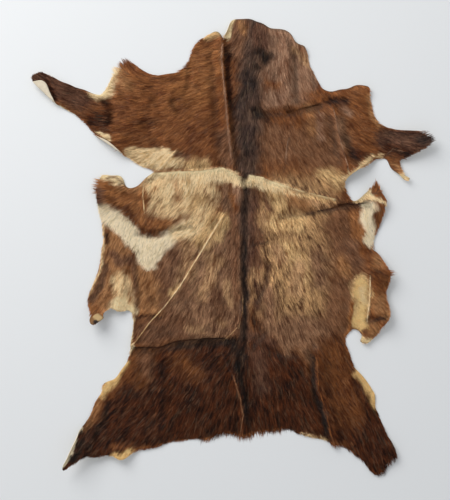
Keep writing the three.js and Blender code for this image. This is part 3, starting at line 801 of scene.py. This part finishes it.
class Ground:
    """The height of the hair side and how far inside its edge a place is, on a grid under the coat."""

    def __init__(self, skin):
        places = corners_of(skin.data)
        self.low = places[:, :2].min(axis=0) - GRID_MARGIN * MM
        span = places[:, :2].max(axis=0) + GRID_MARGIN * MM - self.low
        counts = np.ceil(span / (GRID_STEP * MM)).astype(int)
        faces = [tuple(face.vertices) for face in skin.data.polygons]
        tree = BVHTree.FromPolygons([Vector(place) for place in places], faces)
        edge = edge_of(skin)
        near = tree_of(edge)
        self.height = np.zeros(counts)
        self.inside = np.zeros(counts)
        for i, j in np.ndindex(*counts):
            x, y = self.low + np.array([i, j]) * GRID_STEP * MM
            hit = tree.ray_cast(Vector((x, y, -1)), Vector((0, 0, 1)))[0]
            _, index, gap = near.find((x, y, 0))
            self.inside[i, j] = gap if hit else -gap
            self.height[i, j] = hit.z if hit else edge[index][2]
        self.hollow = self.around() - self.height

    def around(self):
        """The mean height of the surroundings of every place on the grid."""
        height, count = self.height, 2 * round(HOLLOW_SPAN / GRID_STEP) + 1
        for axis in (0, 1):
            height = np.apply_along_axis(np.convolve, axis, height, np.ones(count) / count, mode="same")
        return height

    def read(self, grid, places):
        """A grid's values at places, mixed from their four neighbours."""
        spot = (places[:, :2] - self.low) / (GRID_STEP * MM)
        cell = np.clip(np.floor(spot).astype(int), 0, np.array(grid.shape) - 2)
        return between(grid, cell, cell + 1, np.clip(spot - cell, 0, 1))

    def past_edge(self, places):
        """How far places lie outside the skin's edge, in metres, or 0 for those inside it."""
        return np.maximum(-self.read(self.inside, places), 0)

    def above(self, places, lift):
        """Places at a lift above the skin, drooping past its edge, and never in the floor."""
        height = self.read(self.height, places) + lift - DROOP * self.past_edge(places)
        return np.column_stack([places[:, :2], np.maximum(height, HAIR_GAP * MM)])


def roots_on(skin, count, random):
    """Places scattered evenly over the skin where its hair side looks up."""
    places = corners_of(skin.data)
    skin.data.calc_loop_triangles()
    triangles = np.array([triangle.vertices for triangle in skin.data.loop_triangles])
    a, b, c = (places[triangles[:, k]] for k in range(3))
    across = np.cross(b - a, c - a)
    areas = np.linalg.norm(across, axis=1)
    upward = across[:, 2] > STEEPEST * areas
    share = areas * upward / (areas * upward).sum()
    picked = random.choice(len(triangles), count, p=share)
    u, v = random.random(count), random.random(count)
    folded = u + v > 1
    u, v = np.where(folded, 1 - u, u)[:, None], np.where(folded, 1 - v, v)[:, None]
    return a[picked] + u * (b - a)[picked] + v * (c - a)[picked]


class Locks:
    """Locks in which the strands gather: their roots, ways, lengths, lifts and shades."""

    def __init__(self, skin, random):
        count = int(FLAT_AREA / (LOCK_SPACING * MM) ** 2)
        self.root = roots_on(skin, count, random)
        way, self.length = lie_at(to_sheet(self.root))
        self.way = turned(way, random.normal(0, LOCK_TURN, count))
        self.lift = random.uniform(*LOCK_LIFT_RANGE, count)
        self.shade = random.normal(0, LOCK_SHADE, count)

    def nearest(self, places):
        """Which lock is nearest to each place."""
        near = tree_of(self.root)
        return np.array([near.find((x, y, 0))[1] for x, y, _ in places])


class Strands:
    """Every strand of the coat: its root, middle and tip, its roll and width, and its colour."""

    def __init__(self, skin, ground, random):
        roots = roots_on(skin, STRAND_COUNT, random)
        locks = Locks(skin, random)
        lock = locks.nearest(roots)
        self.sheet = to_sheet(roots)
        self.bare = bareness(self.sheet)
        way = turned(locks.way[lock], random.normal(0, LOCK_TURN / 2, STRAND_COUNT))
        self.way = along_partings(self.sheet, way)
        self.grow(roots, locks, lock, ground, random)
        # Painted light at the edge of the skin, painted shade in its hollows and painted light on its
        # ridges.
        painted_light_and_shade = RIM_PAINTED_LIGHT * (1 - ease(ground.read(ground.inside, roots) / MM, 0, RIM_WIDTH))
        painted_light_and_shade -= HOLLOW_SHADE * np.clip(ground.read(ground.hollow, roots) / MM, *HOLLOW_RANGE)
        self.colour = self.paint(locks.shade[lock] + painted_light_and_shade, random)
        self.shown = random.random(STRAND_COUNT) > BARE_THINNING * self.bare

    def grow(self, roots, locks, lock, ground, random):
        """Lays each strand on the skin, drawn to its lock, and short of the partings and the edge."""
        start = roots[:, :2]
        length = locks.length[lock] * random.uniform(*LENGTH_RANGE, STRAND_COUNT) * MM
        length *= 1 - BARE_SHORTENING * self.bare
        own = start + self.way * length[:, None]
        with_lock = locks.root[lock, :2] + locks.way[lock] * length[:, None]
        tip = own + LOCK_PULL * (with_lock - own)
        reach = reach_past_edge(self.sheet) * MM * random.exponential(OVERHANG_SPREAD, STRAND_COUNT)
        too_far = np.maximum(ground.past_edge(tip) - reach, 0)
        kept = np.clip(1 - too_far / length, SHORTEST, 1) * short_of_partings(self.sheet, to_sheet(tip))
        kept = kept[:, None]
        tip = start + kept * (tip - start)
        run = STRAIGHTNESS * self.way * length[:, None] * kept + (1 - STRAIGHTNESS) * (tip - start)
        middle = start + STRAND_BEND_AT * run
        lift = STRAND_LIFT * MM * locks.lift[lock] * random.uniform(*LIFT_RANGE, STRAND_COUNT)
        self.root = ground.above(roots, -ROOT_DEPTH * MM)
        self.middle = ground.above(middle, lift)
        self.tip = ground.above(tip, lift * random.uniform(*TIP_LIFT_RANGE, STRAND_COUNT))
        self.roll = random.uniform(-STRAND_ROLL, STRAND_ROLL, STRAND_COUNT)
        self.width = STRAND_WIDTH * MM * random.uniform(*WIDTH_RANGE, STRAND_COUNT)

    def paint(self, shade, random):
        """Each strand's colour: a dark or a light hair, by streaks that follow the lie of the coat, with
        painted sheen and the painted light and shade that come in with its shade.
        """
        dark, light, tone = coat_at(self.sheet)
        for streak in TONE_STREAKS:
            tone = tone + streaks(self.sheet, self.way, *streak)
        tone = tone + layered(self.sheet, MOTTLES)
        tone = np.clip(tone + random.normal(0, TONE_SPREAD, STRAND_COUNT), 0, 1)[:, None]
        # A random shade for each strand and its lock, with painted light at the skin's edge and on ridges
        # and painted shade in hollows.
        random_and_painted_shade = 1 + shade[:, None] + random.normal(0, STRAND_SHADE, (STRAND_COUNT, 1))
        # Painted sheen on streaks of the hairs.
        painted_sheen = PAINTED_SHEEN * ease(streaks(self.sheet, self.way, *PAINTED_SHEEN_STREAKS), *PAINTED_SHEEN_RANGE)[:, None]
        colour = (dark + tone * (light - dark) + painted_sheen) * np.maximum(random_and_painted_shade, DEEPEST_SHADE) * COAT_GAIN
        return colour * np.minimum(1, LIGHTEST / colour.max(axis=1, keepdims=True))

    def corners(self, which):
        """Five points for each of those strands: two at the root, two at the middle, and the tip."""
        root, middle, tip = self.root[which], self.middle[which], self.tip[which]
        across = unit(np.cross(tip - root, [0, 0, 1]))
        over = unit(np.cross(across, tip - root))
        roll = self.roll[which, None]
        half = (across * np.cos(roll) + over * np.sin(roll)) * self.width[which, None] / 2
        sides = [root - ROOT_WIDTH * half, root + ROOT_WIDTH * half, middle - half, middle + half]
        return np.stack([*sides, tip], axis=1)


def paint_points(mesh, name, colours):
    """Paints each point of a mesh in its own colour."""
    paint = mesh.color_attributes.new(name, "FLOAT_COLOR", "POINT")
    rows = np.column_stack([colours, np.ones(len(colours))])
    paint.data.foreach_set("color", rows.astype(np.float32).ravel())


def strand_mesh(name, corners):
    """A mesh of two faces for each strand."""
    mesh = bpy.data.meshes.new(name)
    mesh.vertices.add(corners.shape[0] * corners.shape[1])
    mesh.vertices.foreach_set("co", corners.astype(np.float32).ravel())
    strand = np.arange(len(corners))[:, None]
    turns = [corner for face in STRAND_FACES for corner in face]
    loops = strand * corners.shape[1] + turns
    starts = strand * len(turns) + [0, len(STRAND_FACES[0])]
    mesh.loops.add(loops.size)
    mesh.loops.foreach_set("vertex_index", loops.astype(np.int32).ravel())
    mesh.polygons.add(starts.size)
    mesh.polygons.foreach_set("loop_start", starts.astype(np.int32).ravel())
    mesh.update()
    return mesh


def unwrap_strands(mesh, count):
    """Gives each strand its own cell in a square image."""
    side = int(np.ceil(np.sqrt(count)))
    cell = np.stack([np.arange(count) % side, np.arange(count) // side], axis=1)[:, None]
    spread = np.array([STRAND_CELL[corner] for face in STRAND_FACES for corner in face])
    layer = mesh.uv_layers.new(name="OFBake")
    layer.data.foreach_set("uv", ((cell + spread) / side).astype(np.float32).ravel())


def coat_piece(name, strands, which, material):
    """One mesh of the chosen strands."""
    mesh = strand_mesh(name, strands.corners(which))
    colours = np.clip(strands.colour[which][:, None] * FADE[None, :, None], 0, 1).reshape(-1, 3)
    paint_points(mesh, "coat", colours)
    unwrap_strands(mesh, which.sum())
    mesh.materials.append(material)
    return add_object(name, mesh)


def shader(name, attribute, roughness):
    """A material whose colour is a mesh's own paint. Returns it with its nodes, links and shader."""
    material = bpy.data.materials.new(name)
    material.use_nodes = True
    nodes, links = material.node_tree.nodes, material.node_tree.links
    surface = nodes["Principled BSDF"]
    surface.inputs["Roughness"].default_value = roughness
    paint = nodes.new("ShaderNodeAttribute")
    paint.attribute_name = attribute
    return material, nodes, links, surface, paint


def mottled(nodes, links, colour, scale, low, high):
    """A colour that noise darkens and lightens between two factors."""
    place = nodes.new("ShaderNodeTexCoord")
    grain = nodes.new("ShaderNodeTexNoise")
    grain.inputs["Scale"].default_value = scale
    grain.inputs["Detail"].default_value = 4
    ramp = nodes.new("ShaderNodeMapRange")
    ramp.inputs["To Min"].default_value = low
    ramp.inputs["To Max"].default_value = high
    mix = nodes.new("ShaderNodeVectorMath")
    mix.operation = "SCALE"
    links.new(place.outputs["Object"], grain.inputs["Vector"])
    links.new(grain.outputs["Fac"], ramp.inputs["Value"])
    links.new(colour, mix.inputs[0])
    links.new(ramp.outputs["Result"], mix.inputs["Scale"])
    return mix.outputs["Vector"], grain.outputs["Fac"]


def coat_material():
    """Silky hair, each strand in its own colour, with the painted light, shade and sheen in it."""
    material, nodes, links, surface, paint = shader("goat hair", "coat", roughness=0.5)
    colour, _ = mottled(nodes, links, paint.outputs["Color"], scale=900, low=0.8, high=1.2)
    links.new(colour, surface.inputs["Base Color"])
    surface.inputs["Specular IOR Level"].default_value = 0.12
    return material


def skin_material():
    """Leather: the coat's own colour under the hair, darkened by painted shade of the hair, and cream on
    the flesh side.
    """
    material, nodes, links, surface, paint = shader("goat leather", "leather", roughness=0.7)
    colour, grain = mottled(nodes, links, paint.outputs["Color"], scale=260, low=0.86, high=1.1)
    links.new(colour, surface.inputs["Base Color"])
    bump = nodes.new("ShaderNodeBump")
    bump.inputs["Strength"].default_value = 0.3
    bump.inputs["Distance"].default_value = 0.4 * MM
    links.new(grain, bump.inputs["Height"])
    links.new(bump.outputs["Normal"], surface.inputs["Normal"])
    surface.inputs["Specular IOR Level"].default_value = 0.3
    return material


def thicken(skin):
    """Makes the hair side a closed sheet of leather, with its hair side and its flesh side painted."""
    sheet = to_sheet(corners_of(skin.data))
    hair_count = len(sheet)
    shell = skin.modifiers.new("leather", "SOLIDIFY")
    shell.thickness = LEATHER_THICKNESS * MM
    shell.offset = -1
    apply_modifiers(skin)
    dark, light, share = coat_at(sheet)
    # The leather's tint, with painted shade of the hair on it, lighter where the skin is bare.
    tint_and_painted_shade = (LEATHER_PAINTED_SHADE + BARE_SHADE * bareness(sheet))[:, None] * LEATHER_TINT
    hair_side_colour = tint_and_painted_shade * (dark + share[:, None] * (light - dark))
    flesh = to_sheet(corners_of(skin.data))[hair_count:]
    flesh_colour = daylight(FLESH_COLOUR) * (1 + layered(flesh, BLOTCHES))[:, None]
    for tone, radius, *path in FLESH_MARKS_AND_SHADE:
        cover = near_path(flesh, path, radius, MARK_EDGE)
        flesh_colour += cover[:, None] * (daylight(TONES[tone][0]) - flesh_colour)
    paint_points(skin.data, "leather", np.clip(np.concatenate([hair_side_colour, flesh_colour]), 0, 1))
    skin.data.polygons.foreach_set("use_smooth", np.ones(len(skin.data.polygons), bool))
    skin.data.materials.clear()
    skin.data.materials.append(skin_material())


def make_coat(skin, ground):
    """The coat, in six pieces: left and right of the spine, over the shoulders, the body and the rump."""
    strands = Strands(skin, ground, np.random.default_rng(COAT_SEED))
    sheet = to_sheet(strands.root)
    material = coat_material()
    pieces = []
    for side, across in (("left", sheet[:, 0] < SPINE), ("right", sheet[:, 0] >= SPINE)):
        for part, low, high in COAT_PARTS:
            which = strands.shown & across & (sheet[:, 1] >= low) & (sheet[:, 1] < high)
            pieces.append(coat_piece(f"coat_{part}_{side}", strands, which, material))
    return pieces


def make_camera():
    """A camera straight above the rug, framed as the photograph is."""
    lens = bpy.data.cameras.new("camera")
    lens.sensor_fit = "VERTICAL"
    lens.sensor_height = SENSOR
    lens.lens = SENSOR * CAMERA_HEIGHT / VIEW_HEIGHT
    lens.clip_end = CAMERA_RANGE * MM
    camera = add_object("camera", lens)
    camera.location = (*((VIEW_MIDDLE - SHEET_MIDDLE) * MM), CAMERA_HEIGHT * MM)
    bpy.context.scene.camera = camera


def make_window():
    """A square soft light from the upper left that shines at the middle of the rug."""
    lamp = bpy.data.lights.new("window", "AREA")
    lamp.size = WINDOW_SIZE
    lamp.energy = WINDOW_POWER
    lamp.color = WINDOW_COLOUR
    light = add_object("window", lamp)
    light.location = WINDOW_PLACE
    light.rotation_euler = (-Vector(WINDOW_PLACE)).to_track_quat("-Z", "Y").to_euler()


def make_floor():
    """A plain pale floor."""
    bpy.ops.mesh.primitive_plane_add(size=FLOOR_SIZE)
    floor = bpy.context.object
    floor.name = "floor"
    material = bpy.data.materials.new("pale floor")
    material.use_nodes = True
    surface = material.node_tree.nodes["Principled BSDF"]
    surface.inputs["Base Color"].default_value = FLOOR_COLOUR
    surface.inputs["Roughness"].default_value = 0.8
    floor.data.materials.append(material)


def make_studio():
    """Soft light, mostly from a window."""
    make_window()
    world = bpy.data.worlds.new("studio")
    world.use_nodes = True
    sky = world.node_tree.nodes["Background"]
    sky.inputs["Color"].default_value = SKY_COLOUR
    sky.inputs["Strength"].default_value = SKY_STRENGTH
    bpy.context.scene.world = world
    bpy.context.scene.view_settings.view_transform = "Standard"


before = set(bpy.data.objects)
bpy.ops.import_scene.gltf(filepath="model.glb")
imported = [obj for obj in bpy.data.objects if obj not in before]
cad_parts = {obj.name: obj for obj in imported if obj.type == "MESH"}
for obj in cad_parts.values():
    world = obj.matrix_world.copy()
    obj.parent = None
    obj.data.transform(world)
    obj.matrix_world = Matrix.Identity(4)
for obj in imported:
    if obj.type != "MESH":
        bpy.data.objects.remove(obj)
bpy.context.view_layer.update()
make_camera()
make_studio()
make_floor()

skin = hair_side(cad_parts["hide"])
coat = make_coat(skin, Ground(skin))
thicken(skin)

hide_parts("hide")
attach(skin, "root")
for piece in coat:
    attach(piece, "root")
